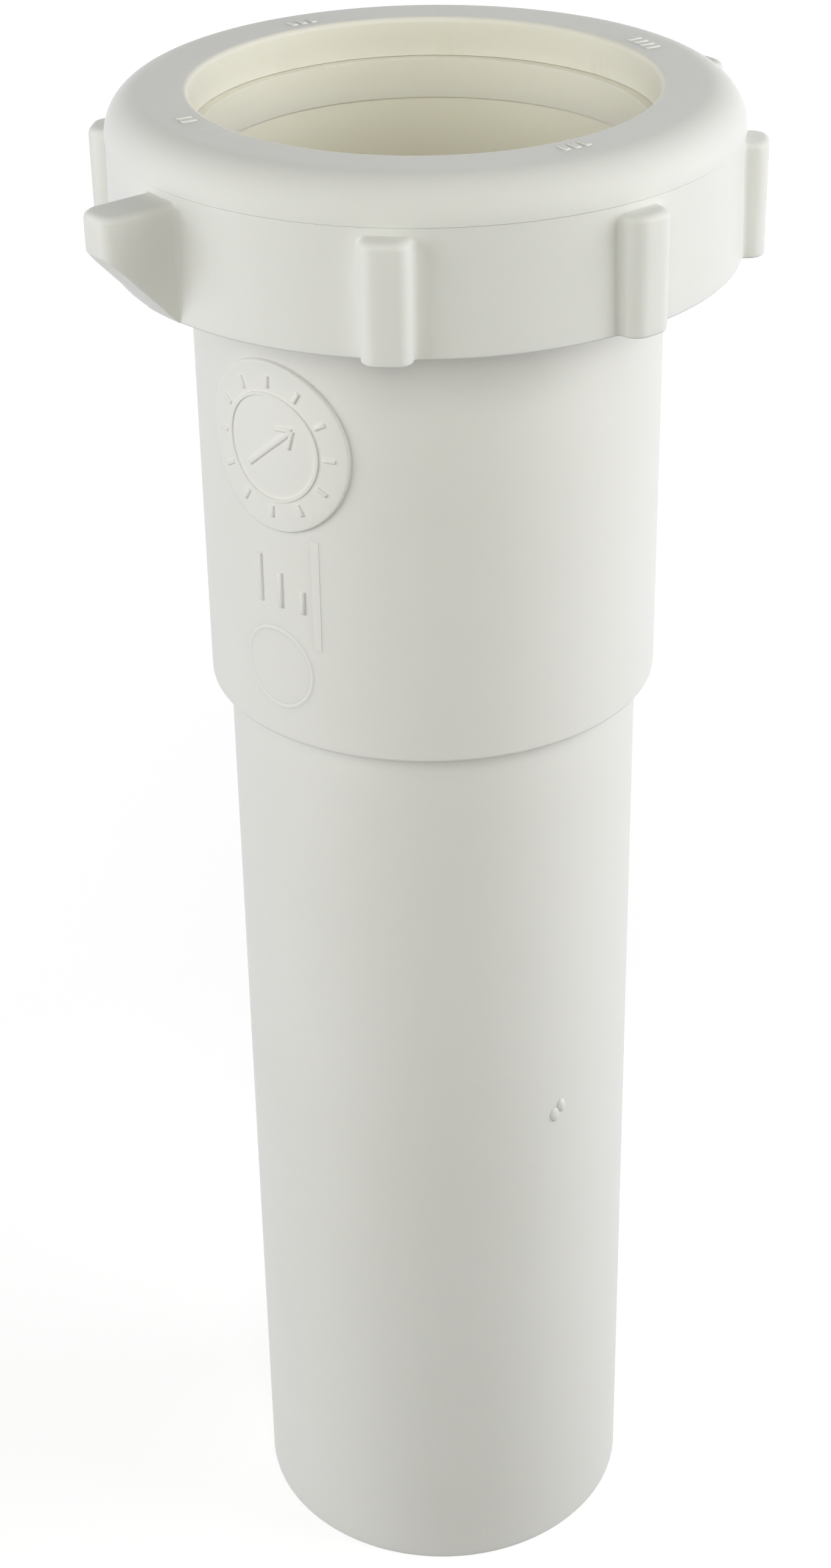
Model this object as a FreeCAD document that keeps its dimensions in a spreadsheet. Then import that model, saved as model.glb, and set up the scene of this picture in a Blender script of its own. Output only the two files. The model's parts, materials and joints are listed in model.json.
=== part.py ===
import FreeCAD, Part
import math
import os
import Sketcher

# A slip-joint extension tube for a basin waste: one moulded tube with a socket at its upper end,
# a wing nut that screws on the socket and a bevelled washer that the nut squeezes onto a pipe.
# Millimetres, +Z up, origin at the middle of the tail's lower end, wings of the nut along X.
doc = FreeCAD.newDocument("slip_joint_extension_tube")

# Driving dimensions
SIZES = {
    "tail_diameter": 38.1,
    "tail_wall": 1.65,
    "tail_length": 98.9,
    "tail_end_chamfer": 0.5,
    "slip_clearance": 0.25,
    "socket_wall": 1.45,
    "socket_floor": 1.6,
    "socket_length": 49.7,
    "step_chamfer": 0.4,
    "mouth_chamfer": 2.2,
    "collar_wall": 3.5,
    "collar_length": 9.2,
    "thread_clearance": 0.3,
    "washer_grip_clearance": 0.1,
    "washer_side_clearance": 0.8,
    "washer_lip": 0.5,
    "washer_rim": 0.42,
    "washer_seat_gap": 0.2,
    "washer_play": 0.1,
    "nut_height": 14.3,
    "nut_wall": 4.35,
    "nut_draft": 0.35,
    "nut_mouth_chamfer": 0.7,
    "flange_thickness": 3.5,
    "flange_hole_clearance": 0.95,
    "crown_round": 3.5,
    "lugs_between_wings": 3,
    "lug_projection": 1.75,
    "lug_width": 4.2,
    "lug_edge_round": 1.3,
    "lug_top_below_crown": 0.7,
    "wing_projection": 6.35,
    "wing_thickness": 4.2,
    "wing_tip_height": 3.3,
    "wing_edge_round": 1.3,
    "top_edge_chamfer": 0.5,
}
sheet = doc.addObject("Spreadsheet::Sheet", "sizes")
for row, (alias, number) in enumerate(SIZES.items(), start=1):
    sheet.set(f"A{row}", alias)
    sheet.set(f"B{row}", str(number))
    sheet.setAlias(f"B{row}", alias)
doc.recompute()

# Radii that follow from the driving dimensions, from the tail's bore outwards
TAIL_RADIUS = "(sizes.tail_diameter / 2)"
TAIL_BORE = f"({TAIL_RADIUS} - sizes.tail_wall)"
SOCKET_BORE = f"({TAIL_RADIUS} + sizes.slip_clearance)"
SOCKET_RADIUS = f"({SOCKET_BORE} + sizes.socket_wall)"
MOUTH_RADIUS = f"({SOCKET_BORE} + sizes.mouth_chamfer)"
COLLAR_RADIUS = f"({SOCKET_BORE} + sizes.collar_wall)"
NUT_BORE = f"({COLLAR_RADIUS} + sizes.thread_clearance)"
WASHER_BORE = f"({TAIL_RADIUS} + sizes.washer_grip_clearance)"
WASHER_LIP_RADIUS = f"({WASHER_BORE} + sizes.washer_lip)"
WASHER_RADIUS = f"({NUT_BORE} - sizes.washer_side_clearance)"
FLANGE_HOLE = f"({TAIL_RADIUS} + sizes.flange_hole_clearance)"
SKIRT_RADIUS = f"({NUT_BORE} + sizes.nut_wall)"
SKIRT_TOP_RADIUS = f"({SKIRT_RADIUS} - sizes.nut_draft)"
MIDDLE_OF_SKIRT = f"({NUT_BORE} + sizes.nut_wall / 2)"

# Heights that follow from them, in the frame of the whole part
TUBE_LENGTH = "(sizes.tail_length + sizes.socket_length)"
COLLAR_FOOT = f"({TUBE_LENGTH} - sizes.collar_length)"
COLLAR_TAPER_FOOT = f"({COLLAR_FOOT} - ({COLLAR_RADIUS} - {SOCKET_RADIUS}))"
MOUTH_FOOT = f"({TUBE_LENGTH} - sizes.mouth_chamfer)"
BEVEL_LIFT = "sizes.washer_seat_gap * sqrt(2)"
WASHER_FOOT = f"({MOUTH_FOOT} + {WASHER_LIP_RADIUS} - {SOCKET_BORE} + {BEVEL_LIFT})"
WASHER_BEVEL = f"({WASHER_RADIUS} - {WASHER_LIP_RADIUS})"
WASHER_HEIGHT = f"({WASHER_BEVEL} + sizes.washer_rim)"
FLANGE_FOOT = "(sizes.nut_height - sizes.flange_thickness)"
NUT_FOOT = f"({WASHER_FOOT} + {WASHER_HEIGHT} + sizes.washer_play - {FLANGE_FOOT})"
LUG_HEIGHT = "(sizes.nut_height - sizes.crown_round - sizes.lug_top_below_crown)"


def make_body(label, foot="0"):
    """Start a sub-part that stands at the given height."""
    body = doc.addObject("PartDesign::Body", label)
    body.Label = label
    body.setExpression("Placement.Base.z", foot)
    return body


def make_sketch(body, name, role, corners):
    """Draw a closed outline on an origin plane, with each corner tied to the sheet."""
    sketch = body.newObject("Sketcher::SketchObject", name)
    plane = next(item for item in body.Origin.OriginFeatures if item.Role == role)
    sketch.AttachmentSupport = [(plane, "")]
    sketch.MapMode = "FlatFace"
    count = len(corners)
    turn = 2 * math.pi / count
    start = [FreeCAD.Vector(math.cos(turn * i), math.sin(turn * i), 0) for i in range(count)]
    for i in range(count):
        sketch.addGeometry(Part.LineSegment(start[i], start[(i + 1) % count]), False)
    for i in range(count):
        sketch.addConstraint(Sketcher.Constraint("Coincident", i, 2, (i + 1) % count, 1))
    for i, corner in enumerate(corners):
        for kind, expression in zip(("DistanceX", "DistanceY"), corner):
            index = sketch.addConstraint(Sketcher.Constraint(kind, -1, 1, i, 1, 1.0))
            sketch.setExpression(f"Constraints[{index}]", expression)
    return sketch


def revolve(body, name, corners):
    """Turn an outline of radii and heights about the sub-part's own axis."""
    sketch = make_sketch(body, f"{name}_outline", "XZ_Plane", corners)
    turned = body.newObject("PartDesign::Revolution", name)
    turned.Profile = sketch
    turned.ReferenceAxis = (sketch, ["V_Axis"])
    turned.Angle = 360
    doc.recompute()
    return turned


def pattern(body, name, axis_of, count, angle):
    """Repeat features about the upright axis of a sketch, over the given angle."""
    copies = body.newObject("PartDesign::PolarPattern", name)
    copies.Axis = (axis_of, ["N_Axis"])
    copies.setExpression("Occurrences", count)
    copies.setExpression("Angle", angle)
    return copies


def dress_edges(body, kind, name, base, width, wanted):
    """Fillet or chamfer every edge of the base feature that the test picks."""
    edges = enumerate(base.Shape.Edges, start=1)
    names = [f"Edge{number}" for number, edge in edges if wanted(edge)]
    dressed = body.newObject(f"PartDesign::{kind}", name)
    dressed.Base = (base, names)
    dressed.setExpression("Radius" if kind == "Fillet" else "Size", width)
    doc.recompute()
    return dressed


def near(first, second):
    return math.isclose(first, second, abs_tol=0.01)


def reach(edge):
    """How far the edge stands out from the axis at its outer end."""
    return max(math.hypot(vertex.X, vertex.Y) for vertex in edge.Vertexes)


def lies_at(edge, height):
    return all(near(vertex.Z, height) for vertex in edge.Vertexes)


def widest_at(shape, height):
    """A test for the outermost edge of a turned shape at that height."""
    level = [edge for edge in shape.Edges if lies_at(edge, height)]
    widest = max(reach(edge) for edge in level)
    return lambda edge: lies_at(edge, height) and near(reach(edge), widest)


def is_upright(edge):
    heights = [vertex.Z for vertex in edge.Vertexes]
    return near(max(heights) - min(heights), edge.Length)


# Extension tube: plain tail, square step, wider socket and threaded collar, in one moulding
tube = make_body("extension_tube")
tube_wall = revolve(tube, "tube_wall", [
    (TAIL_BORE, "0"),
    (TAIL_RADIUS, "0"),
    (TAIL_RADIUS, "sizes.tail_length"),
    (SOCKET_RADIUS, "sizes.tail_length"),
    (SOCKET_RADIUS, COLLAR_TAPER_FOOT),
    (COLLAR_RADIUS, COLLAR_FOOT),
    (COLLAR_RADIUS, TUBE_LENGTH),
    (MOUTH_RADIUS, TUBE_LENGTH),
    (SOCKET_BORE, MOUTH_FOOT),
    (SOCKET_BORE, "sizes.tail_length + sizes.socket_floor"),
    (TAIL_BORE, "sizes.tail_length + sizes.socket_floor"),
])
tail_end = dress_edges(tube, "Chamfer", "tail_end", tube_wall, "sizes.tail_end_chamfer",
                       widest_at(tube_wall.Shape, 0))
tail_length = float(sheet.get("tail_length"))
dress_edges(tube, "Chamfer", "step_edge", tail_end, "sizes.step_chamfer",
            widest_at(tail_end.Shape, tail_length))

# Slip washer: flat top under the nut's flange and a bevel that seats in the socket's mouth
washer = make_body("slip_washer", WASHER_FOOT)
revolve(washer, "washer_ring", [
    (WASHER_BORE, "0"),
    (WASHER_LIP_RADIUS, "0"),
    (WASHER_RADIUS, WASHER_BEVEL),
    (WASHER_RADIUS, WASHER_HEIGHT),
    (WASHER_BORE, WASHER_HEIGHT),
])

# Slip nut: tapered skirt with a rounded crown and a flange that the pipe passes through
nut = make_body("slip_nut", NUT_FOOT)
nut_ring = revolve(nut, "nut_ring", [
    (f"{NUT_BORE} + sizes.nut_mouth_chamfer", "0"),
    (SKIRT_RADIUS, "0"),
    (SKIRT_TOP_RADIUS, "sizes.nut_height"),
    (FLANGE_HOLE, "sizes.nut_height"),
    (FLANGE_HOLE, FLANGE_FOOT),
    (NUT_BORE, FLANGE_FOOT),
    (NUT_BORE, "sizes.nut_mouth_chamfer"),
])
nut_height = float(sheet.get("nut_height"))
crown = dress_edges(nut, "Fillet", "crown", nut_ring, "sizes.crown_round",
                    widest_at(nut_ring.Shape, nut_height))
skirt_reach = max(reach(edge) for edge in crown.Shape.Edges)

# Finger lugs on the skirt, evenly spaced between the wings on both sides
LUG_PITCH = "(180 / (sizes.lugs_between_wings + 1))"
LUG_TIP = f"({SKIRT_RADIUS} + sizes.lug_projection)"
lug_outline = make_sketch(nut, "lug_outline", "XY_Plane", [
    (MIDDLE_OF_SKIRT, "-sizes.lug_width / 2"),
    (LUG_TIP, "-sizes.lug_width / 2"),
    (LUG_TIP, "sizes.lug_width / 2"),
    (MIDDLE_OF_SKIRT, "sizes.lug_width / 2"),
])
lug_outline.setExpression("AttachmentOffset.Rotation.Angle", LUG_PITCH)
lug = nut.newObject("PartDesign::Pad", "lug")
lug.Profile = lug_outline
lug.setExpression("Length", LUG_HEIGHT)
doc.recompute()
lugs = nut.newObject("PartDesign::MultiTransform", "lugs")
lugs.Originals = [lug]
lugs.Transformations = [
    pattern(nut, "one_side", lug_outline, "sizes.lugs_between_wings",
            f"{LUG_PITCH} * (sizes.lugs_between_wings - 1)"),
    pattern(nut, "both_sides", lug_outline, "2", "360"),
]
nut.Tip = lugs
doc.recompute()
lug_corners = dress_edges(nut, "Fillet", "lug_corners", lugs,
                          "min(sizes.lug_edge_round; sizes.lug_width * 0.45)",
                          lambda edge: is_upright(edge) and reach(edge) > skirt_reach + 0.1)

# Two opposite wings for the hand, full height at the skirt and shallow at the tip
WING_TIP = f"({SKIRT_RADIUS} + sizes.wing_projection)"
wing_outline = make_sketch(nut, "wing_outline", "XZ_Plane", [
    (MIDDLE_OF_SKIRT, "0"),
    (SKIRT_RADIUS, "0"),
    (WING_TIP, f"{LUG_HEIGHT} - sizes.wing_tip_height"),
    (WING_TIP, LUG_HEIGHT),
    (MIDDLE_OF_SKIRT, LUG_HEIGHT),
])
wing = nut.newObject("PartDesign::Pad", "wing")
wing.Profile = wing_outline
wing.Midplane = True
wing.setExpression("Length", "sizes.wing_thickness")
doc.recompute()
wings = pattern(nut, "wings", lug_outline, "2", "360")
wings.Originals = [wing]
nut.Tip = wings
doc.recompute()
wing_reach = max(reach(edge) for edge in wings.Shape.Edges)
wing_corners = dress_edges(nut, "Fillet", "wing_corners", wings,
                           "min(sizes.wing_edge_round; sizes.wing_thickness * 0.45)",
                           lambda edge: is_upright(edge) and near(reach(edge), wing_reach))

# Softened rims around the tops of the lugs and wings
lug_top = lug.Length.Value
dress_edges(nut, "Chamfer", "top_rims", wing_corners, "sizes.top_edge_chamfer",
            lambda edge: lies_at(edge, lug_top) and reach(edge) > skirt_reach + 0.1)

for item in doc.Objects:
    if "Invalid" in item.State or "Error" in item.State:
        raise RuntimeError(f"{item.Name} failed to build")
for body in (tube, washer, nut):
    if body.Shape.isNull() or not body.Shape.isValid():
        raise RuntimeError(f"{body.Label} has no valid shape")

os.makedirs("parts", exist_ok=True)
for body in (tube, washer, nut):
    body.Shape.exportStep(f"parts/{body.Label}.step")
    print(body.Label, body.Shape.BoundBox, round(body.Shape.Volume, 1))
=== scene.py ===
import json
import math

import bmesh
import bpy
from mathutils import Matrix, Vector


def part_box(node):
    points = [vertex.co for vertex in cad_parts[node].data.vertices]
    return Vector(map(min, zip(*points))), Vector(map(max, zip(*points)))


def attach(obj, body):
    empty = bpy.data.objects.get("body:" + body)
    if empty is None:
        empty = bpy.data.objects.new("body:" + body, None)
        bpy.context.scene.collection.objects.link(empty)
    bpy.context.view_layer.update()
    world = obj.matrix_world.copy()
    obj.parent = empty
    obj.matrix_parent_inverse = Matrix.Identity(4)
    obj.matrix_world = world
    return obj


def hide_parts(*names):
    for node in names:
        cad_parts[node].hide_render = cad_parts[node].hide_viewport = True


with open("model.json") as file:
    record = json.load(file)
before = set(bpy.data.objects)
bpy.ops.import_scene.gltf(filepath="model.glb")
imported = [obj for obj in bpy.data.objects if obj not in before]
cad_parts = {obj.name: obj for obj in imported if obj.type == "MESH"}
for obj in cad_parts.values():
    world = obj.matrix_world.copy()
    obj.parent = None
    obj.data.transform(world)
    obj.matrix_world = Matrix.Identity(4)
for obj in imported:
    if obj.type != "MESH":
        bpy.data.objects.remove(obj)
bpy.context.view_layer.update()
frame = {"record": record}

# Extension tube. One injection moulding in white polypropylene: a plain tail that slips into the next
# fitting, a square step, a wider socket for the pipe, and a collar with a coarse right-hand thread.
# Sizes of the pieces are millimetres, and finish_piece brings each mesh to metres.
MM = 0.001
mount_sizes = {mount["name"]: mount["dims"] for mount in frame["record"]["mounts"]}
tube_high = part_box("extension_tube")[1] / MM
tail_radius = mount_sizes["tail"]["r_mm"]
tail_wall = 1.65
tail_bore = tail_radius - tail_wall
tail_edge_round = 0.4
tail_bore_round = 0.3
step_height = 98.9
step_edge_round = 0.45
step_root_round = 0.3
socket_wall = 1.45
socket_bore = mount_sizes["socket"]["r_mm"]
socket_radius = socket_bore + socket_wall
socket_floor = step_height + 1.6
socket_floor_round = 0.4
tube_top = tube_high.z
mouth_chamfer = 2.2
mouth_edge_round = 0.3
collar_radius = tube_high.x
collar_foot = tube_top - 9.2
thread_pitch = 2.209
thread_depth = 1.1
thread_base = 1.35
thread_crest = 0.45
thread_root = collar_radius - thread_depth / 2
thread_foot = collar_foot + 0.6
thread_turns = 3.4
round_segments = 192


def lathe(outline, segments=round_segments):
    """Spin a closed outline of (radius, height) about the upright axis."""
    mesh = bmesh.new()
    corners = [mesh.verts.new((radius, 0, height)) for radius, height in outline]
    edges = [mesh.edges.new(pair) for pair in zip(corners, corners[1:] + corners[:1])]
    bmesh.ops.spin(mesh, geom=corners + edges, axis=(0, 0, 1), angle=2 * math.pi, steps=segments,
                   use_merge=True)
    bmesh.ops.remove_doubles(mesh, verts=mesh.verts, dist=0.0005)
    bmesh.ops.delete(mesh, geom=[edge for edge in mesh.edges if edge.is_wire], context="EDGES")
    bmesh.ops.recalc_face_normals(mesh, faces=mesh.faces)
    return mesh


def round_ring(mesh, radius, height, width):
    """Round the ring-shaped edge at that radius and height."""
    reach = 0.01

    def on_ring(vert):
        across = math.hypot(vert.co.x, vert.co.y) - radius
        return math.hypot(across, vert.co.z - height) < reach

    ring = [edge for edge in mesh.edges if all(on_ring(vert) for vert in edge.verts)]
    bmesh.ops.bevel(mesh, geom=ring, offset=width, segments=4, profile=0.5, affect="EDGES", material=-1)


def add_thread(mesh, root, crest, foot):
    """Wind a right-hand ridge from root to crest, which grows out of the wall and dies back into it."""
    steps_per_turn = 72
    run_out = 12
    sink = math.copysign(0.12, root - crest)
    start = math.copysign(0.15, crest - root)
    section = [(root + sink, -thread_base / 2), (root + start, -thread_crest / 2),
               (root + start, thread_crest / 2), (root + sink, thread_base / 2)]
    end = mesh.faces.new([mesh.verts.new((radius, 0, foot + rise)) for radius, rise in section])
    last = [end] + list(end.edges) + list(end.verts)

    def wind(geometry, steps):
        return bmesh.ops.spin(
            mesh, geom=geometry, axis=(0, 0, 1), angle=2 * math.pi * steps / steps_per_turn, steps=steps,
            dvec=(0, 0, thread_pitch / steps_per_turn))["geom_last"]

    def lift_crest(geometry, amount):
        verts = [item for item in geometry if isinstance(item, bmesh.types.BMVert)]
        verts.sort(key=lambda vert: abs(math.hypot(vert.co.x, vert.co.y) - root - sink))
        for vert in verts[2:]:
            outward = Vector((vert.co.x, vert.co.y, 0)).normalized()
            vert.co += outward * amount

    lift = (crest - root - start) / run_out
    for _ in range(run_out):
        last = wind(last, 1)
        lift_crest(last, lift)
    last = wind(last, round(thread_turns * steps_per_turn) - 2 * run_out)
    for _ in range(run_out):
        last = wind(last, 1)
        lift_crest(last, -lift)


def finish_piece(name, mesh, material, body, nodes=()):
    """Turn a millimetre mesh into a smooth-shaded piece that rides on a body."""
    sharp_from = math.radians(50)
    bmesh.ops.scale(mesh, vec=(MM, MM, MM), verts=mesh.verts)
    data = bpy.data.meshes.new(name)
    mesh.to_mesh(data)
    mesh.free()
    data.shade_smooth()
    data.set_sharp_from_angle(angle=sharp_from)
    data.materials.append(material)
    piece = bpy.data.objects.new(name, data)
    bpy.context.collection.objects.link(piece)
    even_faces = piece.modifiers.new("even_faces", "WEIGHTED_NORMAL")
    even_faces.keep_sharp = True
    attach(piece, body)
    if nodes:
        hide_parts(*nodes)


def linear(hex_colour):
    """An sRGB hex colour as linear red, green, blue and alpha."""
    shares = [int(hex_colour[i:i + 2], 16) / 255 for i in (1, 3, 5)]
    return [c / 12.92 if c <= 0.04045 else ((c + 0.055) / 1.055) ** 2.4 for c in shares] + [1.0]


def add_node(tree, kind, inputs, **settings):
    """Add a shader node with its settings; an input is a value or a socket to link from."""
    made = tree.nodes.new(kind)
    for key, value in settings.items():
        setattr(made, key, value)
    for key, value in inputs.items():
        if isinstance(value, bpy.types.NodeSocket):
            tree.links.new(value, made.inputs[key])
        else:
            made.inputs[key].default_value = value
    return made


def per_mm(size):
    """Texture scale, in cells per metre, for a pattern of that size in millimetres."""
    return 1 / (size * MM)


def moulded_plastic(name, outer, cloudy, bounce_glow_colour, milky=0.35):
    """Injection-moulded plastic. The eye sees a satin, milky white with faint clouds, a fine grain from the
    mould's wall and slow waves where it shrank, and a painted cream glow of bounced light on faces that face
    the axis."""
    cloud_size = 26
    sheen_size = 7
    wave_size = 14
    wave_depth = 0.25
    # A mould's real grain is under 0.1 mm, too fine to show, so it is drawn coarser.
    grain_size = 0.5
    grain_depth = 0.06
    milky_depth = 1.0
    material = bpy.data.materials.new(name)
    material.use_nodes = True
    tree = material.node_tree
    shader = tree.nodes["Principled BSDF"]
    coordinates = add_node(tree, "ShaderNodeTexCoord", {})
    place = coordinates.outputs["Object"]

    across = add_node(tree, "ShaderNodeVectorMath", {0: place, 1: (1, 1, 0)}, operation="MULTIPLY")
    radial = add_node(tree, "ShaderNodeVectorMath", {0: across.outputs[0]}, operation="NORMALIZE")
    outward = add_node(tree, "ShaderNodeVectorMath", {
        0: coordinates.outputs["Normal"], 1: radial.outputs[0]}, operation="DOT_PRODUCT")
    # Painted bounce light: faces turned towards the axis are tinted to the lighter cream colour, standing in
    # for light that bounces about inside.
    painted_bounce_mask = add_node(tree, "ShaderNodeMapRange", {
        "Value": outward.outputs["Value"], "From Min": -0.7, "From Max": 0.0, "To Min": 1.0, "To Max": 0.0})
    clouds = add_node(tree, "ShaderNodeTexNoise", {
        "Vector": place, "Scale": per_mm(cloud_size), "Detail": 3.0, "Roughness": 0.45})
    skin = add_node(tree, "ShaderNodeMix", {
        "Factor": clouds.outputs["Fac"], "A": linear(outer), "B": linear(cloudy)}, data_type="RGBA")
    colour = add_node(tree, "ShaderNodeMix", {
        "Factor": painted_bounce_mask.outputs["Result"], "A": skin.outputs["Result"], "B": linear(bounce_glow_colour)},
        data_type="RGBA")
    tree.links.new(colour.outputs["Result"], shader.inputs["Base Color"])

    sheen = add_node(tree, "ShaderNodeTexNoise", {
        "Vector": place, "Scale": per_mm(sheen_size), "Detail": 4.0})
    satin = add_node(tree, "ShaderNodeMapRange", {
        "Value": sheen.outputs["Fac"], "To Min": 0.3, "To Max": 0.42})
    tree.links.new(satin.outputs["Result"], shader.inputs["Roughness"])

    grain = add_node(tree, "ShaderNodeTexNoise", {
        "Vector": place, "Scale": per_mm(grain_size), "Detail": 2.0})
    grain_relief = add_node(tree, "ShaderNodeBump", {
        "Height": grain.outputs["Fac"], "Strength": 0.12, "Distance": grain_depth * MM})
    waves = add_node(tree, "ShaderNodeTexNoise", {
        "Vector": place, "Scale": per_mm(wave_size), "Detail": 1.0})
    wave_relief = add_node(tree, "ShaderNodeBump", {
        "Height": waves.outputs["Fac"], "Strength": 0.25, "Distance": wave_depth * MM,
        "Normal": grain_relief.outputs["Normal"]})
    tree.links.new(wave_relief.outputs["Normal"], shader.inputs["Normal"])

    shader.inputs["IOR"].default_value = 1.49
    shader.inputs["Specular IOR Level"].default_value = 0.35
    shader.inputs["Subsurface Weight"].default_value = milky
    shader.inputs["Subsurface Radius"].default_value = (1.0, 0.92, 0.7)
    shader.inputs["Subsurface Scale"].default_value = milky_depth * MM
    return material


tube_mesh = lathe([
    (tail_bore, 0),
    (tail_radius, 0),
    (tail_radius, step_height),
    (socket_radius, step_height),
    (socket_radius, collar_foot - (collar_radius - socket_radius)),
    (thread_root, collar_foot - (collar_radius - thread_root)),
    (thread_root, tube_top),
    (socket_bore + mouth_chamfer, tube_top),
    (socket_bore, tube_top - mouth_chamfer),
    (socket_bore, socket_floor),
    (tail_bore, socket_floor),
])
round_ring(tube_mesh, tail_radius, 0, tail_edge_round)
round_ring(tube_mesh, tail_bore, 0, tail_bore_round)
round_ring(tube_mesh, socket_radius, step_height, step_edge_round)
round_ring(tube_mesh, tail_radius, step_height, step_root_round)
round_ring(tube_mesh, tail_bore, socket_floor, socket_floor_round)
round_ring(tube_mesh, thread_root, tube_top, mouth_edge_round)
add_thread(tube_mesh, thread_root, thread_root + thread_depth, thread_foot)
# Moulded polypropylene: off-white and satin outside, with a painted cream glow of bounced light in the bore,
# where light bounces about.
tube_plastic = moulded_plastic("satin_polypropylene", "#EFEEEB", "#E9E8E3", "#FDF9EA")
finish_piece("moulded_tube", tube_mesh, tube_plastic, "tube", ["extension_tube"])

# Date dial on the socket. A round raised pad with a ring, twelve ticks and an arrow, cut in the mould's
# wall, so it stands a little proud of the socket in the same polypropylene.
pad_radius = 7.7
pad_height = 0.38
pad_sink = 0.2
pad_edge_round = 0.22
pad_angle = 192.0
pad_level = 127.4
pad_segments = 96
ring_segments = 72
dial_inner = 4.6
dial_outer = 4.95
dial_taper = 0.05
dial_sink = 0.05
dial_height = 0.2
bar_height = 0.36
tick_radius = 5.9
tick_length = 1.1
tick_width = 0.38
arrow_turn = math.radians(-50)
arrow_length = 6.4
arrow_width = 0.5
barb_length = 1.8
barb_width = 0.42
barb_lean = math.radians(35)


def bar(mesh, middle, length, width, height, turn=0.0):
    """A small raised bar that lies flat, long side up before it is turned, with its upper rim rounded."""
    rim_share = 0.4
    made = bmesh.ops.create_cube(mesh, size=1.0)["verts"]
    bmesh.ops.scale(mesh, vec=(width, length, height), verts=made)
    bmesh.ops.rotate(mesh, matrix=Matrix.Rotation(turn, 3, "Z"), verts=made)
    bmesh.ops.translate(mesh, vec=middle, verts=made)
    upper = {vert for vert in made if vert.co.z > middle[2]}
    rims = [edge for edge in mesh.edges if set(edge.verts) <= upper]
    bmesh.ops.bevel(mesh, geom=rims, offset=min(width, height) * rim_share, segments=2, profile=0.5,
                    affect="EDGES", material=-1)


def wrap_on(mesh, radius, angle, level, spacing=0.8):
    """Bend a flat relief onto a cylinder: across becomes around, up stays up."""
    reach = max(abs(vert.co.x) for vert in mesh.verts)
    for cut in range(-int(reach / spacing), int(reach / spacing) + 1):
        everything = mesh.verts[:] + mesh.edges[:] + mesh.faces[:]
        bmesh.ops.bisect_plane(mesh, geom=everything, plane_co=(cut * spacing, 0, 0), plane_no=(1, 0, 0))
    for vert in mesh.verts:
        around = math.radians(angle) + vert.co.x / radius
        away = radius + vert.co.z
        vert.co = (away * math.cos(around), away * math.sin(around), level + vert.co.y)
    bmesh.ops.remove_doubles(mesh, verts=mesh.verts, dist=0.003)
    bmesh.ops.recalc_face_normals(mesh, faces=mesh.faces)


def join(mesh, other):
    """Add a second mesh to the first."""
    data = bpy.data.meshes.new("joined")
    other.to_mesh(data)
    other.free()
    mesh.from_mesh(data)
    bpy.data.meshes.remove(data)


def upward(turn):
    """The flat direction that points up before it is turned."""
    return Vector((-math.sin(turn), math.cos(turn), 0))


dial_mesh = lathe([
    (0, -pad_sink),
    (pad_radius, -pad_sink),
    (pad_radius, pad_height),
    (0, pad_height),
], pad_segments)
round_ring(dial_mesh, pad_radius, pad_height, pad_edge_round)
dial_foot = pad_height - dial_sink
dial_crest = dial_foot + dial_height
join(dial_mesh, lathe([
    (dial_inner, dial_foot),
    (dial_outer, dial_foot),
    (dial_outer - dial_taper, dial_crest),
    (dial_inner + dial_taper, dial_crest),
], ring_segments))
on_pad = Vector((0, 0, pad_height))
for hour in range(12):
    heading = math.radians(30 * hour)
    bar(dial_mesh, on_pad + upward(heading) * tick_radius, tick_length, tick_width, bar_height, heading)
bar(dial_mesh, on_pad, arrow_length, arrow_width, bar_height, arrow_turn)
arrow_tip = on_pad + upward(arrow_turn) * arrow_length / 2
for side in (-1, 1):
    barb_turn = arrow_turn + side * barb_lean
    barb_middle = arrow_tip - upward(barb_turn) * barb_length / 2
    bar(dial_mesh, barb_middle, barb_length, barb_width, bar_height, barb_turn)
wrap_on(dial_mesh, socket_radius, pad_angle, pad_level)
# The same polypropylene where it is too thin to look milky: a plain satin white.
thin_plastic = moulded_plastic("thin_polypropylene", "#EFEEEB", "#E9E8E3", "#EFEEEB", milky=0)
finish_piece("date_dial_pad", dial_mesh, thin_plastic, "tube")

# Cavity bars on the socket. Three upright bars in falling lengths that tell which cavity of the mould the
# tube came from, raised in the same polypropylene.
cavity_lengths = (4.6, 3.4, 2.2)
cavity_spacing = 2.4
cavity_width = 0.5
cavity_height = 0.44
cavity_angle = 192.5
cavity_level = 114.5
bars_mesh = bmesh.new()
for index, length in enumerate(cavity_lengths):
    drop = (length - cavity_lengths[0]) / 2
    bar(bars_mesh, ((index - 1) * cavity_spacing, drop, 0), length, cavity_width, cavity_height)
wrap_on(bars_mesh, socket_radius, cavity_angle, cavity_level)
finish_piece("cavity_bars", bars_mesh, thin_plastic, "tube")

# Ejector witness. The faint ring that a round pin of the mould leaves on the socket, hardly proud of it
# and in the same polypropylene.
witness_inner = 3.5
witness_outer = 4.1
witness_taper = 0.18
witness_sink = 0.06
witness_height = 0.045
witness_angle = 190.5
witness_level = 106.1
witness_mesh = lathe([
    (witness_inner, -witness_sink),
    (witness_outer, -witness_sink),
    (witness_outer - witness_taper, witness_height),
    (witness_inner + witness_taper, witness_height),
], ring_segments)
wrap_on(witness_mesh, socket_radius, witness_angle, witness_level)
finish_piece("ejector_witness", witness_mesh, thin_plastic, "tube")

# Insert seam. The hair-thin upright step beside the bars, left in the polypropylene where a loose insert met
# the rest of the mould.
seam_length = 10.5
seam_width = 0.8
seam_thickness = 0.06
seam_angle = 203.0
seam_level = 114.2
seam_mesh = bmesh.new()
bar(seam_mesh, (0, 0, 0), seam_length, seam_width, seam_thickness)
wrap_on(seam_mesh, socket_radius, seam_angle, seam_level, spacing=0.2)
finish_piece("insert_seam", seam_mesh, thin_plastic, "tube")

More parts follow.
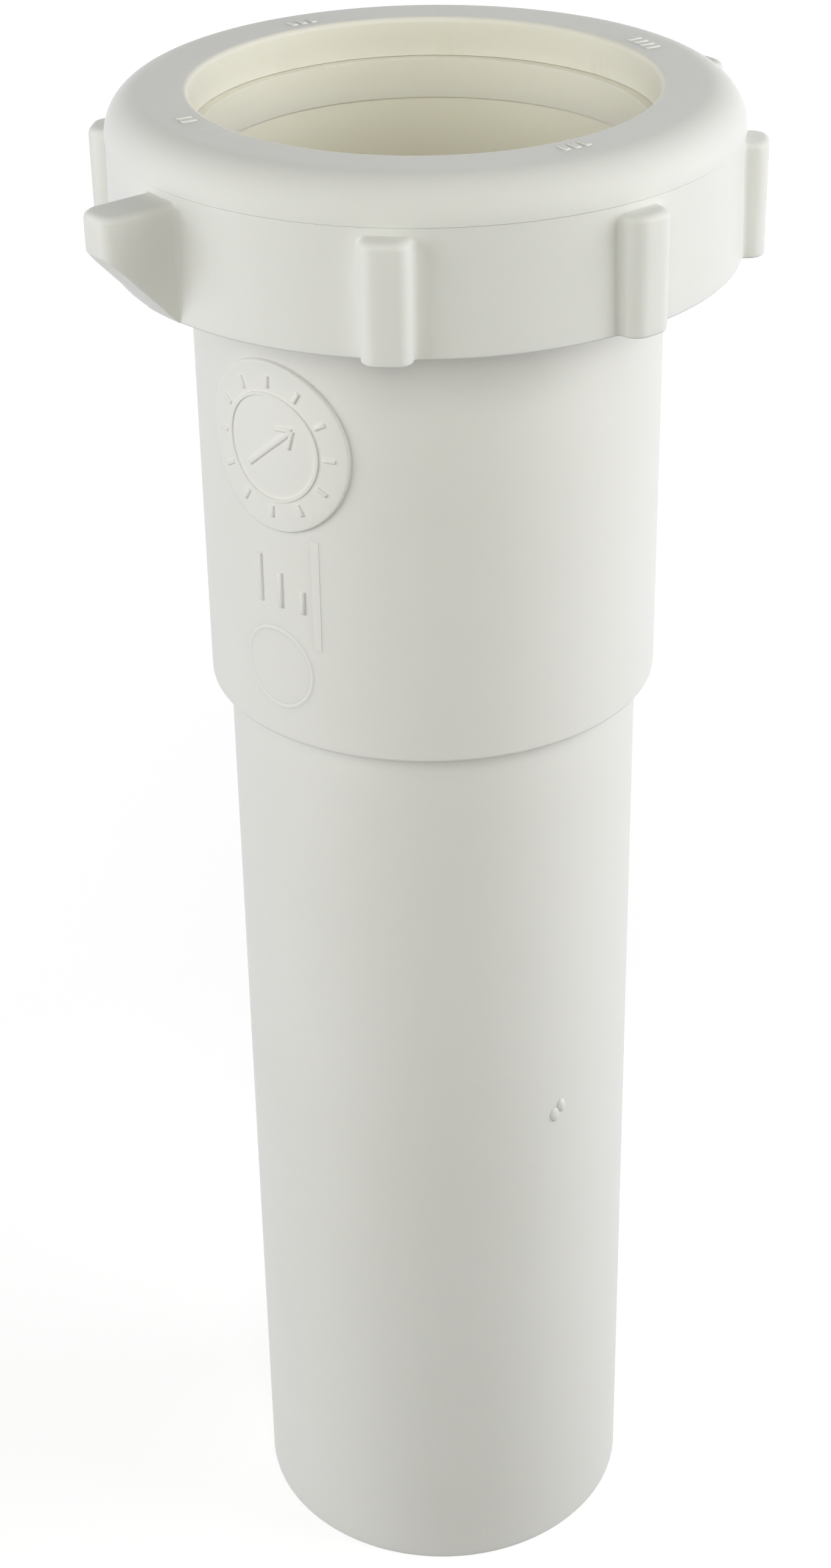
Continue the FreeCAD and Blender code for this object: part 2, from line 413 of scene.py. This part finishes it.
# Gate mark on the tail. The stub of polypropylene where it entered the mould, broken off and left as two
# small rounded lobes a little proud of the wall.
gate_lobes = (((-0.4, -0.4, 0), (0.55, 0.8, 0.26)), ((0.35, 0.4, 0), (0.45, 0.75, 0.36)))
gate_angle = 269.3
gate_level = 56.5
gate_mesh = bmesh.new()
for middle, size in gate_lobes:
    lobe = bmesh.ops.create_uvsphere(gate_mesh, u_segments=20, v_segments=12, radius=1.0)["verts"]
    bmesh.ops.scale(gate_mesh, vec=size, verts=lobe)
    bmesh.ops.translate(gate_mesh, vec=middle, verts=lobe)
wrap_on(gate_mesh, tail_radius, gate_angle, gate_level)
finish_piece("gate_mark", gate_mesh, thin_plastic, "tube")

# Slip washer. A bevelled ring of soft cream polyethylene that drops into the socket's mouth, where the
# nut's flange squeezes it down its bevel until it grips the pipe.
washer_low, washer_high = (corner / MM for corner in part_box("slip_washer"))
washer_bore = tail_radius + 0.1
washer_lip = washer_bore + 0.5
washer_radius = washer_high.x
flange_play = 0.085  # the solid's running play under the flange, closed here so that no dark line shows
washer_top = washer_high.z + flange_play
washer_bevel_top = washer_low.z + washer_radius - washer_lip
washer_bore_round = 0.06
washer_rim_round = 0.12
feather_width = 0.2
feather_foot = washer_low.z - 0.42
washer_mesh = lathe([
    (washer_bore, feather_foot),
    (washer_bore + feather_width, feather_foot),
    (washer_lip, washer_low.z),
    (washer_radius, washer_bevel_top),
    (washer_radius, washer_top),
    (washer_bore, washer_top),
])
round_ring(washer_mesh, washer_bore, washer_top, washer_bore_round)
round_ring(washer_mesh, washer_radius, washer_top, washer_rim_round)
# Moulded polyethylene: waxy and cream all over, a warmer white than the outside of the tube, with a slightly
# lighter painted glow of bounced light in its bore.
washer_plastic = moulded_plastic("soft_polyethylene", "#F6F4E8", "#F1EEDF", "#F9F6EA")
finish_piece("bevelled_washer", washer_mesh, washer_plastic, "washer", ["slip_washer"])

# Slip nut. A polypropylene cap nut with a rounded crown, a drafted skirt with short finger lugs and two
# tapered wings for the hand, and a thread inside that winds onto the tube's collar.
nut_low, nut_high = (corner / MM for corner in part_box("slip_nut"))
nut_height = nut_high.z - nut_low.z
nut_bore = collar_radius + 0.3
nut_thread_root = nut_bore + thread_depth / 2
nut_mouth_chamfer = 0.7
skirt_foot_radius = nut_bore + 4.35
skirt_draft = 0.35 / nut_height
foot_round = 0.25
crown_round = 3.5
crown_lip = 0.12
crown_lip_drop = 0.1
crown_foot = nut_height - crown_round
flange_hole = tail_radius + 0.95
flange_foot = nut_height - 3.5
flange_top_round = 0.5
flange_foot_round = 0.08
lug_tip = nut_high.y
lug_top = crown_foot - 0.7
lug_half_width = 2.1
lug_edge_round = 1.3
lug_root_round = 0.4
lug_top_round = 0.6
wing_tip = nut_high.x
wing_tip_foot = lug_top - 3.3
wing_slant_round = 0.3
wing_corner_round = 0.8
wing_steps = (
    (0.25, wing_slant_round), (0.5, wing_slant_round), (0.8, wing_slant_round),
    (0.93, wing_corner_round), (1.0, lug_edge_round))
sector = math.radians(45)


def skirt_radius(height):
    """The skirt leans in a little as it rises, so that the nut leaves the mould."""
    return skirt_foot_radius - skirt_draft * height


def wing_reach(height):
    """The wing's slanted lower edge runs from the foot of the skirt out to the tip."""
    share = min(1.0, height / wing_tip_foot)
    return skirt_foot_radius + (wing_tip - skirt_foot_radius) * share


def lug_reach(height):
    """A lug stands straight up."""
    return lug_tip


def arc(middle, radius, start, stop, steps):
    """Points along an arc, start and stop given in degrees."""
    turns = [math.radians(start + (stop - start) * i / steps) for i in range(steps + 1)]
    return [(middle[0] + radius * math.cos(t), middle[1] + radius * math.sin(t)) for t in turns]


def rounding(width, steps=3):
    """An edge's rounding as pairs, how far in and how far up at each step."""
    turns = [math.pi / 2 * i / steps for i in range(steps + 1)]
    return [(width * (1 - math.sin(t)), width * (1 - math.cos(t))) for t in turns]


def lug_plan(skirt, tip, half, corner=lug_edge_round):
    """Plan of one eighth of the skirt, a rounded lug in its middle and fillets at its root."""
    least_flat = 0.05
    scale = min(1.0, (tip - skirt) / (corner + lug_root_round + least_flat))
    corner *= scale
    root = lug_root_round * scale
    root_x = math.sqrt((skirt + root) ** 2 - (half + root) ** 2)
    root_stop = math.degrees(math.atan2(half + root, root_x))
    nose = [(tip, 0), (tip, (half - corner) / 2)] + arc((tip - corner, half - corner), corner, 0, 90, 6)
    nose = [(x - tip + math.sqrt(tip ** 2 - y ** 2), y) for x, y in nose]
    root_arc = arc((root_x, half + root), root, 270, 180 + root_stop, 5)
    skirt_arc = arc((0, 0), skirt, root_stop, math.degrees(sector / 2), 7)
    side = nose + root_arc + skirt_arc[1:]
    return [(x, -y) for x, y in reversed(side[1:])] + side


def nut_rows(reach, corners, foot_corner):
    """Rows of points up the outside of one eighth of the nut, over the crown and down the inside."""
    rows = []

    def add_row(plan, height):
        rows.append([(x, y, height) for x, y in plan])

    for inset, height in rounding(foot_round):
        skirt = skirt_radius(height)
        tip = max(reach(height), skirt)
        add_row(lug_plan(skirt - inset, tip - inset, lug_half_width - inset, foot_corner), height)
    for height, corner in corners:
        add_row(lug_plan(skirt_radius(height), reach(height), lug_half_width, corner), height)
    for drop, inset in rounding(lug_top_round):
        height = lug_top - drop
        plan = lug_plan(skirt_radius(height), reach(height) - inset, lug_half_width - inset)
        add_row(plan, height)
    angles = [math.atan2(y, x) for x, y in plan]
    neck = skirt_radius(crown_foot)
    crown_middle = (neck + crown_lip - crown_round, crown_foot)
    hole_top = (flange_hole + flange_top_round, nut_height - flange_top_round)
    hole_foot = (flange_hole + flange_foot_round, flange_foot + flange_foot_round)
    outline = [(skirt_radius(lug_top), lug_top), (neck, crown_foot - 2 * crown_lip_drop),
               (neck, crown_foot - crown_lip_drop)]
    outline += arc(crown_middle, crown_round, 0, 90, 14)
    outline += arc(hole_top, flange_top_round, 90, 180, 4)
    outline += arc(hole_foot, flange_foot_round, 180, 270, 2)
    outline += [(nut_thread_root, flange_foot), (nut_thread_root, nut_mouth_chamfer),
                (nut_thread_root + nut_mouth_chamfer, 0)]
    for radius, height in outline:
        add_row([(radius * math.cos(angle), radius * math.sin(angle)) for angle in angles], height)
    return rows + rows[:1]


def skin_rows(rows):
    """Draw the first row as a chain of edges and extrude it from row to row."""
    mesh = bmesh.new()
    chain = [mesh.verts.new(point) for point in rows[0]]
    edges = [mesh.edges.new(pair) for pair in zip(chain, chain[1:])]
    for row in rows[1:]:
        made = set(bmesh.ops.extrude_edge_only(mesh, edges=edges)["geom"])
        chain = [next(edge.other_vert(vert) for edge in vert.link_edges if edge.other_vert(vert) in made)
                 for vert in chain]
        for vert, point in zip(chain, row):
            vert.co = point
        edges = [mesh.edges.get(pair) for pair in zip(chain, chain[1:])]
    return mesh


wing_corners = [(wing_tip_foot * share, corner) for share, corner in wing_steps]
lug_corners = [(height, lug_edge_round) for height, _ in wing_corners]
wing_rows = nut_rows(wing_reach, wing_corners, wing_slant_round)
lug_rows = nut_rows(lug_reach, lug_corners, lug_edge_round)
nut_mesh = bmesh.new()
for eighth in range(8):
    part = skin_rows(wing_rows if eighth % 4 == 0 else lug_rows)
    bmesh.ops.rotate(part, matrix=Matrix.Rotation(sector * eighth, 3, "Z"), verts=part.verts)
    join(nut_mesh, part)
bmesh.ops.remove_doubles(nut_mesh, verts=nut_mesh.verts, dist=0.002)
bmesh.ops.dissolve_degenerate(nut_mesh, edges=nut_mesh.edges, dist=0.0005)
bmesh.ops.recalc_face_normals(nut_mesh, faces=nut_mesh.faces)
nut_thread_foot = thread_foot - nut_low.z + thread_pitch / 2
add_thread(nut_mesh, nut_thread_root, nut_thread_root - thread_depth, nut_thread_foot)
bmesh.ops.translate(nut_mesh, vec=(0, 0, nut_low.z), verts=nut_mesh.verts)
# Moulded polypropylene from another mould: a hair greyer than the tube, with a painted cream glow of bounced
# light inside its hole.
nut_plastic = moulded_plastic("nut_polypropylene", "#EEEEEB", "#E8E8E3", "#F8F5E9")
finish_piece("wing_nut", nut_mesh, nut_plastic, "nut", ["slip_nut"])

# Cavity marks on the nut's top face. Four groups of short raised bars cut in the mould, in the same
# polypropylene as the nut.
mark_groups = ((82, 3), (169, 2), (264, 3), (350, 4))
mark_radius = 21.9
mark_spacing = 2.6
mark_length = 1.3
mark_width = 0.5
mark_height = 0.3
nut_marks = bmesh.new()
for angle, count in mark_groups:
    for index in range(count):
        around = math.radians(angle + mark_spacing * (index - (count - 1) / 2))
        middle = (mark_radius * math.cos(around), mark_radius * math.sin(around), nut_high.z)
        bar(nut_marks, middle, mark_length, mark_width, mark_height, around - math.pi / 2)
finish_piece("nut_cavity_marks", nut_marks, thin_plastic, "nut")

# Studio. A plain white floor that still takes the tube's soft shadow, soft boxes on all four sides, a dim
# even surround, and the camera where the photograph was taken. Sizes here are metres.
camera_turn = math.radians(-38.3)
floor_reach = 3.0
floor_data = bpy.data.meshes.new("studio_floor")
floor_mesh = bmesh.new()
bmesh.ops.create_grid(floor_mesh, x_segments=1, y_segments=1, size=floor_reach)
floor_mesh.to_mesh(floor_data)
floor_mesh.free()
floor = bpy.data.objects.new("studio_floor", floor_data)
bpy.context.collection.objects.link(floor)


def seen_directly(tree):
    """One where a ray comes from the camera, a reflection or a see-through surface."""
    path = add_node(tree, "ShaderNodeLightPath", {})
    either = add_node(tree, "ShaderNodeMath", {
        0: path.outputs["Is Camera Ray"], 1: path.outputs["Is Glossy Ray"]}, operation="MAXIMUM")
    return add_node(tree, "ShaderNodeMath", {
        0: either.outputs[0], 1: path.outputs["Is Transmission Ray"]}, operation="MAXIMUM").outputs[0]


# Matt floor paint: a grey that takes the soft shadow, lifted to white for the eye, most of all further out.
floor_paint = bpy.data.materials.new("white_floor_paint")
floor_paint.use_nodes = True
tree = floor_paint.node_tree
tree.nodes.clear()
matt_grey = add_node(tree, "ShaderNodeBsdfDiffuse", {"Color": linear("#909090")})
floor_place = add_node(tree, "ShaderNodeTexCoord", {}).outputs["Object"]
distance = add_node(tree, "ShaderNodeVectorMath", {0: floor_place}, operation="LENGTH").outputs["Value"]
fade = add_node(tree, "ShaderNodeMapRange", {
    "Value": distance, "From Min": 0.1, "From Max": 0.5, "To Min": 0.8, "To Max": 1.0})
strength = add_node(tree, "ShaderNodeMath", {
    0: fade.outputs["Result"], 1: seen_directly(tree)}, operation="MULTIPLY")
glow = add_node(tree, "ShaderNodeEmission", {"Color": linear("#FFFFFF"), "Strength": strength.outputs[0]})
lifted = add_node(tree, "ShaderNodeAddShader", {0: matt_grey.outputs[0], 1: glow.outputs[0]})
add_node(tree, "ShaderNodeOutputMaterial", {"Surface": lifted.outputs[0]})
floor_data.materials.append(floor_paint)

world = bpy.data.worlds.new("studio")
bpy.context.scene.world = world
world.use_nodes = True
tree = world.node_tree
surround = tree.nodes["Background"]
level = add_node(tree, "ShaderNodeMapRange", {"Value": seen_directly(tree), "To Min": 0.06, "To Max": 1.0})
tree.links.new(level.outputs["Result"], surround.inputs["Strength"])
surround.inputs["Color"].default_value = linear("#FFFFFF")


def soft_box(name, turn, level, distance, width, height, power, colour):
    """A rectangular soft box, turned about the object from the camera's side and aimed at its middle. It
    lights the plastic but doesn't mirror in it, so the nut's flat top stays readable from all sides."""
    middle = Vector((0, 0, 0.09))
    light = bpy.data.lights.new(name, "AREA")
    light.shape = "RECTANGLE"
    light.size = width
    light.size_y = height
    light.energy = power
    light.color = linear(colour)[:3]
    lamp = bpy.data.objects.new(name, light)
    bpy.context.collection.objects.link(lamp)
    heading = camera_turn + math.radians(turn)
    lamp.location = (distance * math.sin(heading), -distance * math.cos(heading), level)
    lamp.rotation_euler = (middle - lamp.location).to_track_quat("-Z", "Y").to_euler()
    lamp.visible_glossy = False


soft_box("right_soft_box", turn=85, level=0.22, distance=0.36, width=0.3, height=0.3, power=1.25,
         colour="#FCFDFF")
soft_box("left_soft_box", turn=-71, level=0.21, distance=0.5, width=0.4, height=0.42, power=1.72,
         colour="#FCFDFF")
soft_box("front_soft_box", turn=0, level=0.27, distance=0.383, width=0.15, height=0.12, power=0.3,
         colour="#FFFFF2")
soft_box("high_front_soft_box", turn=0, level=0.49, distance=0.5, width=0.3, height=0.25, power=0.69,
         colour="#FFFFF2")
soft_box("back_soft_box", turn=180, level=0.22, distance=1.3, width=0.9, height=0.4, power=9.0,
         colour="#FFFFFF")

# The camera was fitted to the tube's outlines in the photograph. Its focal length is in that picture's
# pixels, and its turns are radians.
picture_height = 2576
focal_length = 4545
camera_place = (0, -0.2318, 0.221)
camera_pitch = 0.5315
camera_pan = 0.008
camera_roll = -0.018
camera_data = bpy.data.cameras.new("photo_camera")
camera_data.sensor_width = 36.0
camera_data.lens = camera_data.sensor_width * focal_length / picture_height
camera = bpy.data.objects.new("photo_camera", camera_data)
bpy.context.collection.objects.link(camera)
bpy.context.scene.camera = camera
standing = Matrix.Rotation(camera_turn, 4, "Z") @ Matrix.Translation(camera_place)
level_aim = Matrix.Rotation(camera_pan, 4, "Z") @ Matrix.Rotation(math.pi / 2 - camera_pitch, 4, "X")
camera.matrix_world = standing @ level_aim @ Matrix.Rotation(camera_roll, 4, "Z")

bpy.context.scene.view_settings.view_transform = "Standard"
